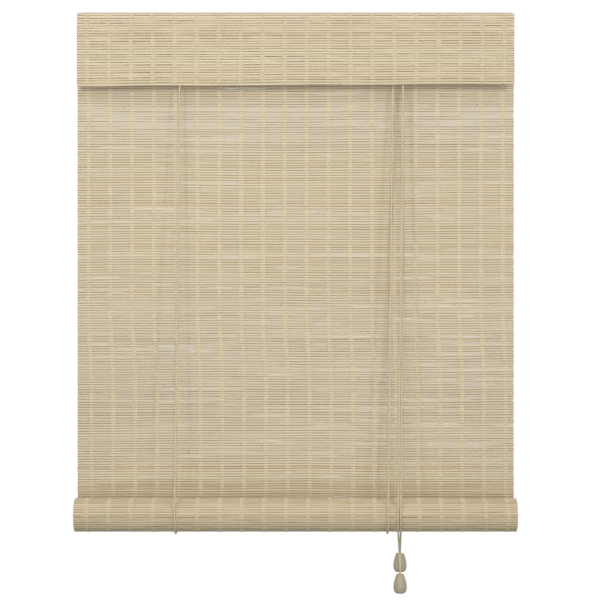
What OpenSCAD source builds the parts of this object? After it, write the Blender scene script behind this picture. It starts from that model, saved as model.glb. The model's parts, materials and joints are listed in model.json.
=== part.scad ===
// Bamboo roll up blind: a woven reed mat on a wooden head rail, half rolled up from below by two cords.
// X runs across the blind, the front is -Y, Z is up. The origin is in the middle of the two fixing
// holes, on the top face of the head rail. All sizes are in millimetres.

/* [Blind] */
// Width of the reed mat
blind_w = 600; // [420:10:1500]
// Height from the top of the rail down to the axis of the roll
roll_drop = 684.5; // [400:0.5:1600]

/* [Reed mat] */
// Height of one slat with its groove
slat_pitch = 3.5; // [2.5:0.1:6]
// Width of the groove between two slats
groove_w = 0.6; // [0.3:0.1:1.2]
// Thickness of a slat
slat_t = 1.5; // [1:0.1:2.5]
// Thickness left at the bottom of a groove
web_t = 0.5; // [0.3:0.1:0.8]
// Distance between two rows of warp thread
warp_spacing = 30; // [15:1:60]
// Width of a row of warp thread
warp_w = 5; // [2:0.5:8]
// Height of the warp thread on the face of the slats
thread_t = 0.25; // [0.1:0.05:0.5]
// Number of open gaps between slats
gap_count = 120; // [10:1:120]
// Height of an open gap
gap_h = 0.5; // [0.2:0.1:0.8]
// How far the top slat lies below the top of the rail
mat_inset = 1; // [0.5:0.5:5]

/* [Valance] */
// Height of the valance
valance_h = 99.5; // [60:0.5:250]
// How far the valance stops short of the mat at each end
valance_inset = 1.5; // [0:0.5:10]

/* [Roll] */
// Radius of the outer turn, to the middle of the mat
roll_r = 23.25; // [16:0.25:40]
// Radius of the rod in the core
rod_r = 5; // [3:0.25:8]
// Room between one turn and the next
turn_gap = 0.85; // [0.4:0.05:2]

/* [Head rail] */
// Height of the rail
rail_h = 25; // [18:0.5:40]
// Depth of the rail
rail_d = 16; // [14.5:0.5:30]
// How far the rail stops short of the mat at each end
rail_inset = 4; // [0:1:20]
// Radius of the rail's long edges
rail_edge_r = 1; // [0.5:0.25:3]
// Radius of the two fixing holes
fixing_r = 2.25; // [1.5:0.25:3]
// Distance of a fixing hole from the end of the rail
fixing_in = 66; // [20:1:100]

/* [Pulleys] */
// Distance of the left pulley from the left side of the mat
left_pulley_in = 149; // [110:1:170]
// Distance of the lock from the right side of the mat
lock_in = 159; // [120:1:180]
// Radius at which the middle of the cord runs on a wheel
run_r = 7; // [5:0.25:9]
// How far the rim stands out past the middle of the cord
rim_h = 1.5; // [0.5:0.25:2.5]
// Width of a wheel
wheel_w = 5; // [4:0.25:5.5]
// Radius of the axles
axle_r = 1.5; // [1:0.1:2]
// Thickness of the sheet metal
plate_t = 1; // [0.6:0.1:1.2]
// Thickness of the plate between the two wheels of the lock
divider_t = 0.8; // [0.4:0.1:1]
// Margin of sheet metal round a wheel
cheek_margin = 1.5; // [0.8:0.1:3]
// Length of a fixing ear past the cheeks
ear_l = 8; // [7:0.5:15]

/* [Lock] */
// Radius of the locking roller
roller_r = 1.6; // [1:0.1:2]
// Travel of the roller in its slots
roller_travel = 3.5; // [2:0.25:5]
// Angle of the slots from upright
slot_angle = 30; // [20:1:45]
// How far the roller rests below the axle
roller_drop = 3; // [2:0.25:5]

/* [Screws] */
// Radius of a pulley screw
screw_r = 1.4; // [1:0.1:2]
// Length of a pulley screw below its head
screw_l = 13; // [8:0.5:16]
// Radius of a screw head
screw_head_r = 2.8; // [2:0.1:3.2]
// Height of a screw head
screw_head_h = 1.6; // [1:0.1:2]
// Distance of the screws behind the middle of the rail
screw_y = 3.5; // [2.8:0.1:4.5]

/* [Staples and eyes] */
// Width of a staple
staple_w = 10; // [6:0.5:14]
// Thickness of the staple wire
staple_t = 0.8; // [0.5:0.1:1.2]
// Length of a staple leg
staple_l = 8; // [6:0.5:12]
// Height of the staples below the top of the rail
staple_drop = 8; // [4:0.5:12]
// Radius of an eye's ring, to the middle of its wire
eye_r = 3.2; // [2.5:0.1:5]
// Radius of the eye's wire
eye_wire_r = 0.8; // [0.5:0.1:1.2]
// Length of the eye's shank inside the rail
eye_shank_l = 10; // [6:0.5:12]
// Height of the eyes below the top of the rail
eye_drop = 14; // [10:0.5:16]
// Distance of an eye to the left of its pulley
eye_offset = 10; // [9.5:0.1:10.5]
// Radius of the knots at the eyes
eye_knot_r = 3.1; // [2.5:0.1:4]

/* [Cord] */
// Diameter of the cord
cord_d = 2.6; // [1.6:0.1:3]

/* [Acorns] */
// Widest diameter of an acorn
acorn_d = 18; // [14:0.5:26]
// Diameter of its flat top
acorn_top_d = 10.5; // [8:0.5:13]
// Diameter of its foot
acorn_foot_d = 9.5; // [9.5:0.5:12]
// Length of an acorn
acorn_l = 25.5; // [22:0.5:34]
// Height of the belly below the top
acorn_belly = 17.5; // [14:0.5:20]
// Rounding of the top edge
acorn_edge = 0.8; // [0.4:0.1:1.5]
// Radius of the pocket for the knot
pocket_r = 4; // [3.5:0.1:4.5]
// Depth of the pocket from below
pocket_depth = 12; // [9:0.5:16]
// Radius of the knots
acorn_knot_r = 3.2; // [2.6:0.1:3.4]

/* [Hidden] */
$fn = 64;
// Clearance between pieces that move past each other
clear = 0.3;
// Clearance of axles, screws and rollers in their holes
fit_gap = 0.05;
// Clearance of a wheel between its plates
side_gap = 0.2;
// Room between the rim of a wheel and the base plate
rim_gap = 1.5;
// Width of a wheel's rim at its edge
rim_lip = 0.4;
// How far the head of a pin stands out past its shank, and its thickness
pin_head = 0.8;
pin_head_t = 0.7;
// Overlap of a cutting tool past the face that it cuts
over = 1;

// Mats
mat_half = slat_t / 2 + thread_t;
mat_y = rail_d / 2 + mat_half;
valance_y = -mat_y;
hang_l = roll_drop - mat_inset - clear;
hang_count = round(hang_l / slat_pitch);
valance_count = round(valance_h / slat_pitch);
warp_count = floor(blind_w / warp_spacing);
function warp_x(k) = (k - (warp_count - 1) / 2) * warp_spacing;

// Roll: a spiral whose outer end meets the foot of the hanging mat
turn_pitch = slat_t + thread_t + turn_gap;
core_r = rod_r + clear + slat_t / 2;
spiral_l = PI * (pow(roll_r, 2) - pow(core_r, 2)) / turn_pitch;
spiral_count = round(spiral_l / slat_pitch);
spiral_step = spiral_l / spiral_count;
roll_y = mat_y - roll_r;
roll_z = -roll_drop;
function spiral_r(s) = sqrt(pow(core_r, 2) + turn_pitch * s / PI);
function spiral_a(s) = 360 * (spiral_r(s) - roll_r) / turn_pitch;
function spiral_at(s, out) =
  [roll_y + (spiral_r(s) + out) * cos(spiral_a(s)), roll_z + (spiral_r(s) + out) * sin(spiral_a(s))];
last_turn = ceil(spiral_count - 2 * PI * roll_r / spiral_step);

// Rail and pulleys
rail_w = blind_w - 2 * rail_inset;
fixing_x = rail_w / 2 - fixing_in;
base_z = -rail_h - plate_t;
wheel_r = run_r + rim_h;
wheel_z = base_z - rim_gap - wheel_r;
wheel_y = divider_t / 2 + side_gap + wheel_w / 2;
case_in = wheel_y + wheel_w / 2 + side_gap;
case_out = case_in + plate_t;
left_x = -blind_w / 2 + left_pulley_in;
lock_x = blind_w / 2 - lock_in;
cheek_r = wheel_r + cheek_margin;
axle_head_r = axle_r + pin_head;
bore_r = axle_r + fit_gap;
groove_r = run_r - cord_d / 2 - side_gap;
groove_half = cord_d / 2 - clear;
rim_half = wheel_w / 2 - rim_lip;
screw_hole_r = screw_r + fit_gap;

// Lock: the roller rests against the cords, at the upper end of its slots
roller_x = lock_x + run_r + cord_d / 2 + clear + roller_r;
roller_z = wheel_z - roller_drop;
roller_end_x = roller_x + roller_travel * sin(slot_angle);
roller_end_z = roller_z - roller_travel * cos(slot_angle);
slot_r = roller_r + fit_gap;
roller_head_r = roller_r + pin_head;
case_left = lock_x - cheek_r;
case_right = roller_end_x + roller_head_r + cheek_margin;
case_foot = min(wheel_z - cheek_r, roller_end_z - roller_head_r - cheek_margin);
case_corner_r = 4;

// Screws
left_screws = [left_x - cheek_r - ear_l / 2, left_x + cheek_r + ear_l / 2];
lock_screws = [case_left - ear_l / 2, case_right + ear_l / 2];
screw_xs = concat(left_screws, lock_screws);

// Staples stand half way between two rows of thread, and eyes to the left of their pulleys
staple_xs = [for (k = [1 : 3 : warp_count - 2]) warp_x(k) + warp_spacing / 2];
eye_xs = [left_x - eye_offset, lock_x - eye_offset];
eye_y = mat_y + mat_half + eye_r + eye_wire_r;

// Routes of the cord, point by point
left_rear = [[-161, 14, -20], [-161.5, 13.5, -340], [-162.5, 12, -662]];
right_rear = [[131, 14, -20], [128.5, 13.5, -340], [126, 12, -662]];
under_roll = [[12, -684.5], [9.8, -694.5], [4, -702.8], [-4.4, -708.2], [-14.3, -710],
  [-23.9, -707.9], [-32, -702.3], [-37.3, -694]];
left_front = [[-163, -39, -684.5], [-160.5, -21, -360], [-158, -3.1, -36]];
right_front = [[124.5, -39, -684.5], [129.3, -18, -360], [134, 3.1, -36]];
left_lift_route = concat(left_rear, [for (p = under_roll) [-163, p.x, p.y]], left_front);
right_lift_route = concat(right_rear, [for (p = under_roll) [125, p.x, p.y]], right_front);
cross_route = [[-158, -3.1, -36], [-157.5, -3.1, -33.3], [-156, -3.1, -31.1], [-153.7, -3.1, -29.5],
  [-151, -3.1, -29], [-5, -3.1, -29], [141, -3.1, -29], [143.7, -3.1, -29.5], [146, -3.1, -31.1],
  [147.5, -3.1, -33.3], [148, -3.1, -36]];
turn_route = [[134, 3.1, -36], [134.5, 3.1, -33.3], [136, 3.1, -31.1], [138.3, 3.1, -29.5],
  [141, 3.1, -29], [143.7, 3.1, -29.5], [146, 3.1, -31.1], [147.5, 3.1, -33.3], [148, 3.1, -36]];
left_pull_route = [[148, -3.1, -36], [143, -21, -360], [138, -39, -684.5]];
right_pull_route = [[148, 3.1, -36], [144.9, -18, -360], [141.8, -39, -684.5]];
left_tassel_route = [[138, -39, -684.5], [138, -39, -698], [138.3, -39.6, -708], [138.9, -41, -718],
  [139.6, -42.6, -730], [140.3, -43.7, -742], [140.5, -44, -754], [140.5, -44, -774.5]];
right_tassel_route = [[141.8, -39, -684.5], [141.8, -39, -696], [141.7, -38, -705], [141.5, -36, -715],
  [141.2, -34, -725], [141, -33, -733], [141, -33, -747.5]];

// Acorns hang so that the end of each route lies at the roof of the pocket
roof_drop = acorn_l - pocket_depth;
left_end = left_tassel_route[len(left_tassel_route) - 1];
right_end = right_tassel_route[len(right_tassel_route) - 1];
acorn_bore_r = cord_d / 2 + clear;

// Extrudes a YZ section along X, centred on the blind
module across(w) {
  translate([-w / 2, 0, 0])
    rotate([90, 0, 90])
      linear_extrude(w)
        children();
}

// Extrudes an XZ outline along Y, from y0 to y1
module through(y0, y1) {
  translate([0, y1, 0])
    rotate([90, 0, 0])
      linear_extrude(y1 - y0)
        children();
}

function reversed(list) = [for (i = [len(list) - 1 : -1 : 0]) list[i]];

// One face of a mat: a flat for each slat, and a groove between two
function ridges(side, y, top, count, step) = [for (i = [0 : count - 1]) each [
  [y + side * slat_t / 2, top - i * step - groove_w / 2],
  [y + side * slat_t / 2, top - (i + 1) * step + groove_w / 2],
  if (i < count - 1) [y + side * web_t / 2, top - (i + 1) * step]
]];

module mat_wall(w, y, top, count, step) {
  across(w)
    polygon(concat(ridges(-1, y, top, count, step), reversed(ridges(1, y, top, count, step))));
}

// Rows of warp thread on both faces of a flat mat
module thread_rows(y, top, foot) {
  for (k = [0 : warp_count - 1])
    for (side = [-1, 1])
      translate([warp_x(k) - warp_w / 2, y + side * (slat_t + thread_t) / 2 - thread_t / 2, foot])
        cube([warp_w, thread_t, top - foot]);
}

// Open gaps lie in the grooves, between two rows of thread, below the valance and above the roll
module mat_gaps(y, top, step) {
  first = ceil((valance_h + mat_inset) / step) + 1;
  last = floor((roll_drop - mat_inset - roll_r) / step) - 2;
  rows = rands(first, last, gap_count, 11);
  columns = rands(0, warp_count - 1.001, gap_count, 23);
  gap_w = warp_spacing - warp_w - 2 * over;
  for (i = [0 : gap_count - 1])
    let (x = warp_x(floor(columns[i])) + warp_w / 2 + over, z = top - floor(rows[i]) * step - gap_h / 2)
      translate([x, y - slat_t, z])
        cube([gap_w, 2 * slat_t, gap_h]);
}

module valance_mat() {
  color([0.82, 0.75, 0.62])
    mat_wall(blind_w - 2 * valance_inset, valance_y, -mat_inset, valance_count, valance_h / valance_count);
}

module valance_threads() {
  color([0.88, 0.83, 0.66])
    thread_rows(valance_y, -mat_inset - groove_w / 2, -mat_inset - valance_h + groove_w / 2);
}

module hanging_mat() {
  step = hang_l / hang_count;
  color([0.79, 0.73, 0.61])
    difference() {
      mat_wall(blind_w, mat_y, -mat_inset, hang_count, step);
      mat_gaps(mat_y, -mat_inset, step);
    }
}

module hanging_threads() {
  color([0.88, 0.83, 0.66])
    thread_rows(mat_y, -mat_inset - groove_w / 2, -mat_inset - hang_l + groove_w / 2);
}

// One face of the rolled mat, from the core to the outer end
function spiral_ridges(side) = [for (i = [0 : spiral_count - 1]) each [
  spiral_at(i * spiral_step + groove_w / 2, side * slat_t / 2),
  spiral_at((i + 1) * spiral_step - groove_w / 2, side * slat_t / 2),
  if (i < spiral_count - 1) spiral_at((i + 1) * spiral_step, side * web_t / 2)
]];

module rolled_mat() {
  color([0.79, 0.72, 0.59])
    across(blind_w)
      polygon(concat(spiral_ridges(1), reversed(spiral_ridges(-1))));
}

// Corners of the slats in the outer turn, raised by a height
function outer_flats(out) = [for (i = [last_turn : spiral_count - 1]) each [
  spiral_at(i * spiral_step + groove_w / 2, slat_t / 2 + out),
  spiral_at((i + 1) * spiral_step - groove_w / 2, slat_t / 2 + out)
]];

module rolled_threads() {
  color([0.88, 0.83, 0.66])
    for (k = [0 : warp_count - 1])
      translate([warp_x(k), 0, 0])
        across(warp_w)
          polygon(concat(outer_flats(thread_t), reversed(outer_flats(0))));
}

module bottom_rod() {
  color([0.76, 0.62, 0.42])
    translate([-blind_w / 2, roll_y, roll_z])
      rotate([0, 90, 0])
        cylinder(r = rod_r, h = blind_w);
}

module rail_section() {
  translate([-rail_d / 2 + rail_edge_r, -rail_h])
    square([rail_d - 2 * rail_edge_r, rail_h]);
  translate([-rail_d / 2, -rail_h + rail_edge_r])
    square([rail_d, rail_h - 2 * rail_edge_r]);
  for (y = [-1, 1] * (rail_d / 2 - rail_edge_r))
    for (z = [-rail_edge_r, -rail_h + rail_edge_r])
      translate([y, z])
        circle(r = rail_edge_r);
}

module head_rail() {
  color([0.80, 0.66, 0.46])
    difference() {
      across(rail_w)
        rail_section();
      for (x = [-1, 1] * fixing_x)
        translate([x, 0, -rail_h - over])
          cylinder(r = fixing_r, h = rail_h + 2 * over);
      for (x = screw_xs)
        translate([x, screw_y, -rail_h - over])
          cylinder(r = screw_hole_r, h = screw_l - plate_t + over);
    }
}

module mat_staples() {
  crown_y = mat_y + slat_t / 2;
  tip_y = rail_d / 2 - staple_l + slat_t;
  color([0.70, 0.70, 0.72])
    for (x = staple_xs) {
      translate([x - staple_w / 2, crown_y, -staple_drop - staple_t / 2])
        cube([staple_w, staple_t, staple_t]);
      for (leg = [-staple_w / 2, staple_w / 2 - staple_t])
        translate([x + leg, tip_y, -staple_drop - staple_t / 2])
          cube([staple_t, crown_y + staple_t - tip_y, staple_t]);
    }
}

module anchor_eyes() {
  tip_y = rail_d / 2 - eye_shank_l;
  color([0.70, 0.70, 0.72])
    for (x = eye_xs)
      translate([x, eye_y, -eye_drop]) {
        rotate([0, 90, 0])
          rotate_extrude()
            translate([eye_r, 0])
              circle(r = eye_wire_r);
        translate([0, tip_y - eye_y, 0])
          rotate([-90, 0, 0])
            cylinder(r = eye_wire_r, h = eye_y - eye_r - tip_y);
      }
}

module anchor_knots() {
  color([0.86, 0.83, 0.74])
    for (i = [0, 1])
      difference() {
        translate([eye_xs[i], eye_y, -eye_drop - eye_r])
          sphere(r = eye_knot_r);
        translate([eye_xs[i] - eye_knot_r, eye_y - eye_knot_r, left_rear[0].z - eye_knot_r])
          cube([2 * eye_knot_r, 2 * eye_knot_r, eye_knot_r]);
      }
}

// Base plate of a pulley, under the rail, with a screw hole in each ear
module base_plate(x0, x1, screws) {
  difference() {
    translate([x0, -case_out, base_z])
      cube([x1 - x0, 2 * case_out, plate_t]);
    for (x = screws)
      translate([x, screw_y, base_z - over])
        cylinder(r = screw_hole_r, h = plate_t + 2 * over);
  }
}

// Round hole through the plates, along Y
module cross_hole(x, z, r) {
  translate([x, 2 * case_out, z])
    rotate([90, 0, 0])
      cylinder(r = r, h = 4 * case_out);
}

module left_cheek_outline() {
  translate([left_x - cheek_r, wheel_z])
    square([2 * cheek_r, base_z - wheel_z]);
  translate([left_x, wheel_z])
    circle(r = cheek_r);
}

module left_pulley_bracket() {
  color([0.72, 0.72, 0.74])
    difference() {
      union() {
        base_plate(left_x - cheek_r - ear_l, left_x + cheek_r + ear_l, left_screws);
        through(-case_out, -case_in)
          left_cheek_outline();
        through(-divider_t / 2, -divider_t / 2 + plate_t)
          left_cheek_outline();
      }
      cross_hole(left_x, wheel_z, bore_r);
    }
}

// Outline of the lock's cheeks, with two round lower corners
module lock_cheek_outline() {
  translate([case_left, case_foot + case_corner_r])
    square([case_right - case_left, base_z - case_foot - case_corner_r]);
  translate([case_left + case_corner_r, case_foot])
    square([case_right - case_left - 2 * case_corner_r, case_corner_r]);
  for (x = [case_left + case_corner_r, case_right - case_corner_r])
    translate([x, case_foot + case_corner_r])
      circle(r = case_corner_r);
}

// Slot of the roller, a slanted stadium
module roller_slot() {
  cross_hole(roller_x, roller_z, slot_r);
  cross_hole(roller_end_x, roller_end_z, slot_r);
  translate([roller_x, 0, roller_z])
    rotate([0, -slot_angle, 0])
      translate([-slot_r, -2 * case_out, -roller_travel])
        cube([2 * slot_r, 4 * case_out, roller_travel]);
}

module lock_case() {
  color([0.72, 0.72, 0.74])
    difference() {
      union() {
        base_plate(case_left - ear_l, case_right + ear_l, lock_screws);
        through(-case_out, -case_in)
          lock_cheek_outline();
        through(-divider_t / 2, divider_t / 2)
          lock_cheek_outline();
        through(case_in, case_out)
          lock_cheek_outline();
      }
      cross_hole(lock_x, wheel_z, bore_r);
      roller_slot();
    }
}

// Grooved wheel that turns about Y
module wheel(x, y) {
  color([0.90, 0.88, 0.82])
    translate([x, y, wheel_z])
      rotate([90, 0, 0])
        rotate_extrude()
          polygon([[bore_r, -wheel_w / 2], [wheel_r, -wheel_w / 2], [wheel_r, -rim_half],
            [groove_r, -groove_half], [groove_r, groove_half], [wheel_r, rim_half],
            [wheel_r, wheel_w / 2], [bore_r, wheel_w / 2]]);
}

// Pin along Y from y0 to y1, with a head outside each end
module headed_pin(x, z, y0, y1, r, head_r) {
  color([0.66, 0.66, 0.68])
    translate([x, y1, z])
      rotate([90, 0, 0]) {
        cylinder(r = r, h = y1 - y0);
        for (h = [-pin_head_t, y1 - y0])
          translate([0, 0, h])
            cylinder(r = head_r, h = pin_head_t);
      }
}

module left_pulley_wheel() { wheel(left_x, -wheel_y); }
module lock_wheel_front() { wheel(lock_x, -wheel_y); }
module lock_wheel_rear() { wheel(lock_x, wheel_y); }

module left_pulley_axle() {
  headed_pin(left_x, wheel_z, -case_out, plate_t - divider_t / 2, axle_r, axle_head_r);
}

module lock_axle() {
  headed_pin(lock_x, wheel_z, -case_out, case_out, axle_r, axle_head_r);
}

module lock_roller() {
  headed_pin(roller_x, roller_z, -case_out - side_gap, case_out + side_gap, roller_r, roller_head_r);
}

module pulley_screws() {
  color([0.70, 0.70, 0.72])
    for (x = screw_xs)
      translate([x, screw_y, base_z - screw_head_h]) {
        cylinder(r = screw_head_r, h = screw_head_h);
        cylinder(r = screw_r, h = screw_head_h + screw_l);
      }
}

function unit(v) = v / norm(v);

// Direction of a route at its point i. Its ends are level, so that two cords meet face to face.
function heading(route, i) =
  let (last = len(route) - 1, along = route[min(i + 1, last)] - route[max(i - 1, 0)])
  i == 0 || i == last ? [0, 0, sign(along.z)] : unit(along);

// Tube of eight sides along a route, with side as a direction that it never follows
module cord_tube(route, side) {
  sides = 8;
  rings = len(route);
  points = [for (i = [0 : rings - 1])
    let (t = heading(route, i), u = unit(cross(t, side)), v = cross(t, u))
    for (k = [0 : sides - 1])
      route[i] + cord_d / 2 * (cos(360 * k / sides) * u + sin(360 * k / sides) * v)];
  skin = [for (i = [0 : rings - 2]) for (k = [0 : sides - 1])
    let (a = i * sides + k, b = i * sides + (k + 1) % sides)
    each [[a, b + sides, b], [a, a + sides, b + sides]]];
  ends = [[for (k = [0 : sides - 1]) k], [for (k = [sides - 1 : -1 : 0]) (rings - 1) * sides + k]];
  color([0.86, 0.83, 0.74])
    polyhedron(points, concat(skin, ends));
}

module left_cross_cord() { cord_tube(cross_route, [0, 1, 0]); }
module right_turn_cord() { cord_tube(turn_route, [0, 1, 0]); }
module left_lift_cord() { cord_tube(left_lift_route, [1, 0, 0]); }
module right_lift_cord() { cord_tube(right_lift_route, [1, 0, 0]); }
module left_pull_cord() { cord_tube(left_pull_route, [1, 0, 0]); }
module right_pull_cord() { cord_tube(right_pull_route, [1, 0, 0]); }
module left_tassel_cord() { cord_tube(left_tassel_route, [1, 0, 0]); }
module right_tassel_cord() { cord_tube(right_tassel_route, [1, 0, 0]); }

// Acorn hung on the end of a cord: a flared body, a round belly and a pocket for the knot
module acorn(end) {
  top_r = acorn_top_d / 2;
  belly_r = acorn_d / 2;
  foot_r = acorn_foot_d / 2;
  steps = 8;
  flank = [for (i = [0 : steps]) [top_r + (belly_r - top_r) * sin(90 * i / steps),
    -acorn_edge - (acorn_belly - acorn_edge) * i / steps]];
  base = [for (i = [1 : steps]) [foot_r + (belly_r - foot_r) * cos(90 * i / steps),
    -acorn_belly - (acorn_l - acorn_belly) * sin(90 * i / steps)]];
  hollow = [[pocket_r, -acorn_l], [pocket_r, -roof_drop], [acorn_bore_r, -roof_drop], [acorn_bore_r, 0]];
  color([0.69, 0.64, 0.55])
    translate(end + [0, 0, roof_drop])
      rotate_extrude()
        polygon(concat([[top_r - acorn_edge, 0]], flank, base, hollow));
}

module upper_acorn() { acorn(right_end); }
module lower_acorn() { acorn(left_end); }

// Knots under the roofs of the pockets, flat where they seat
module acorn_knots() {
  sink = acorn_knot_r - clear;
  color([0.86, 0.83, 0.74])
    for (end = [left_end, right_end])
      translate(end)
        difference() {
          translate([0, 0, -sink])
            sphere(r = acorn_knot_r);
          translate([-acorn_knot_r, -acorn_knot_r, 0])
            cube(2 * acorn_knot_r);
        }
}

head_rail();
valance_mat();
valance_threads();
hanging_mat();
hanging_threads();
rolled_mat();
rolled_threads();
bottom_rod();
mat_staples();
anchor_eyes();
anchor_knots();
left_pulley_bracket();
left_pulley_wheel();
left_pulley_axle();
lock_case();
lock_wheel_front();
lock_wheel_rear();
lock_axle();
lock_roller();
pulley_screws();
left_cross_cord();
right_turn_cord();
left_lift_cord();
right_lift_cord();
left_pull_cord();
right_pull_cord();
left_tassel_cord();
right_tassel_cord();
upper_acorn();
lower_acorn();
acorn_knots();
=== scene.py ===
import json
import math

import bpy
import numpy as np
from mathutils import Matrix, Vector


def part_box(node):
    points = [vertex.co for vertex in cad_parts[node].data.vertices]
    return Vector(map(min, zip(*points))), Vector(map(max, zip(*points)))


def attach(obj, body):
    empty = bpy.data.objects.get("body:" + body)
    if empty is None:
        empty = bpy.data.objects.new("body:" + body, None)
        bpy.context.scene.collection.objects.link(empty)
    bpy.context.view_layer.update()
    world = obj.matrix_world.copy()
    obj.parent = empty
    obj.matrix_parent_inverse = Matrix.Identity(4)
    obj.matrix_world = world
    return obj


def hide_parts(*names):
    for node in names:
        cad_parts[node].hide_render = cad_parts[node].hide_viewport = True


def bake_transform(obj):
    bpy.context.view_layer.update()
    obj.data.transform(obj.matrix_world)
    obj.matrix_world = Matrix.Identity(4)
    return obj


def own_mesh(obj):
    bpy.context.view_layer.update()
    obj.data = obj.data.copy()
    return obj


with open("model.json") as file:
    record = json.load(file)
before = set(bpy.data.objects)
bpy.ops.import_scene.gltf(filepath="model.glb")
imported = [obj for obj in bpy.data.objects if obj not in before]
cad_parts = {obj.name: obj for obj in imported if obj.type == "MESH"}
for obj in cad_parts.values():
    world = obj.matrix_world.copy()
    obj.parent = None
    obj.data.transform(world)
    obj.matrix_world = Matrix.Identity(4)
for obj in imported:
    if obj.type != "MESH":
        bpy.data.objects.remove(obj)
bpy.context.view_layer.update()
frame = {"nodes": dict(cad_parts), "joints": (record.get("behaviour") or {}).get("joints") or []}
rng = np.random.default_rng(11)
mm = 0.001
print("frame loaded:", len(frame["nodes"]), "nodes")


# camera, square on to the mat
photo = {
    "pixels": 600,
    "mmPerPixel": 1.376,       # on the front face of the hanging mat
    "distance": 2.2,           # from the camera to that face, m
    "centre": (6.0, -392.7),   # x and z of the mat in the middle of the frame, mm
}


def placeCamera():
    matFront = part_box("hanging_mat")[0].y
    fieldWidth = photo["pixels"] * photo["mmPerPixel"] * mm
    centreX, centreZ = photo["centre"]
    data = bpy.data.cameras.new("photoCamera")
    data.sensor_width = 36
    data.lens = data.sensor_width * photo["distance"] / fieldWidth
    camera = bpy.data.objects.new("photoCamera", data)
    bpy.context.collection.objects.link(camera)
    camera.location = (centreX * mm, matFront - photo["distance"], centreZ * mm)
    camera.rotation_euler = (math.radians(90), 0, 0)
    bpy.context.scene.camera = camera


placeCamera()
print("camera placed")


# mesh tools
sharpAngle = 62  # degrees between two faces, from which the edge stays sharp


def sweepMesh(name, grids, marks=None, lengths=None):
    # each grid is strips x rings x corners x 3, swept into closed bars
    # marks are point values of the same layout, and lengths give v along the bars
    points, faces, uvs, start = [], [], [], 0
    for number, grid in enumerate(grids):
        strips, rings, corners = grid.shape[:3]
        index = start + np.arange(strips * rings * corners).reshape(strips, rings, corners)
        a, b = index[:, :-1], index[:, 1:]
        quads = np.stack([a, b, np.roll(b, -1, 2), np.roll(a, -1, 2)], -1).reshape(-1, 4)
        first, last = index[:, 0], index[:, -1, ::-1]
        flipped = signedVolume(grid[0]) < 0
        if flipped:
            quads, first, last = quads[:, ::-1], first[:, ::-1], last[:, ::-1]
        faces += quads.tolist() + first.tolist() + last.tolist()
        points.append(grid.reshape(-1, 3))
        start += index.size
        if lengths is not None:
            uvs.append(sweepUvs(grid, lengths[number], flipped))
    mesh = bpy.data.meshes.new(name)
    mesh.from_pydata(np.concatenate(points).tolist(), [], faces)
    for label, values in (marks or {}).items():
        layer = mesh.attributes.new(label, "FLOAT", "POINT")
        layer.data.foreach_set("value", np.concatenate([v.ravel() for v in values]).astype(np.float32))
    if uvs:
        layer = mesh.uv_layers.new(name="along")
        layer.data.foreach_set("uv", np.concatenate(uvs).astype(np.float32).ravel())
    mesh.shade_smooth()
    mesh.set_sharp_from_angle(angle=math.radians(sharpAngle))
    piece = bpy.data.objects.new(name, mesh)
    bpy.context.collection.objects.link(piece)
    return piece


def signedVolume(strip, ringsUsed=3):
    # of the first rings of one bar, which tells which way round its corners run
    strip = strip - strip.reshape(-1, 3).mean(0)
    rings, corners = strip.shape[:2]
    total = 0.0
    for ring in range(min(rings - 1, ringsUsed)):
        for corner in range(corners):
            after = (corner + 1) % corners
            p, q, r = strip[ring, corner], strip[ring + 1, corner], strip[ring + 1, after]
            total += np.dot(p, np.cross(q, r))
            total += np.dot(p, np.cross(r, strip[ring, after]))
    return total


def sweepUvs(grid, length, flipped):
    # u goes once round a bar, v along it in the units of length
    strips, rings, corners = grid.shape[:3]
    v = np.broadcast_to(length, (strips, rings))
    around = np.arange(corners) / corners
    low, high = (np.meshgrid(end.ravel(), around, indexing="ij")[0] for end in (v[:, :-1], v[:, 1:]))
    left = np.broadcast_to(around, low.shape)
    right = left + 1 / corners
    quads = np.stack([np.stack([left, low], -1), np.stack([left, high], -1),
                      np.stack([right, high], -1), np.stack([right, low], -1)], 2)
    if flipped:
        quads = quads[:, :, ::-1]
    caps = np.zeros((2 * strips * corners, 2))
    return np.concatenate([quads.reshape(-1, 2), caps])


# material tools
def rgb(red, green, blue):
    # a colour as it looks on screen, 0 to 255, in the linear form that shaders use
    parts = [c / 255 for c in (red, green, blue)]
    return [c / 12.92 if c <= 0.04045 else ((c + 0.055) / 1.055) ** 2.4 for c in parts] + [1.0]


def addNode(tree, kind, **settings):
    node = tree.nodes.new("ShaderNode" + kind)
    for key, value in settings.items():
        setattr(node, key, value)
    return node


def feed(tree, value, socket):
    # a socket takes a link or a plain value
    if isinstance(value, bpy.types.NodeSocket):
        tree.links.new(value, socket)
    else:
        socket.default_value = value


def math2(tree, operation, a, b=0.5, c=0.5):
    node = addNode(tree, "Math", operation=operation)
    for value, socket in zip((a, b, c), node.inputs):
        feed(tree, value, socket)
    return node.outputs[0]


def product(tree, *values):
    total = values[0]
    for value in values[1:]:
        total = math2(tree, "MULTIPLY", total, value)
    return total


def mixColour(tree, factor, a, b, blend="MIX"):
    node = addNode(tree, "Mix", data_type="RGBA", blend_type=blend, clamp_factor=True)
    for value, socket in ((factor, node.inputs[0]), (a, node.inputs[6]), (b, node.inputs[7])):
        feed(tree, value, socket)
    return node.outputs[2]  # inputs 6 and 7 and output 2 are its colours


def shaded(tree, colour, shade):
    # colour times a grey
    grey = addNode(tree, "CombineColor")
    for socket in grey.inputs:
        feed(tree, shade, socket)
    return mixColour(tree, 1.0, colour, grey.outputs[0], "MULTIPLY")


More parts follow.
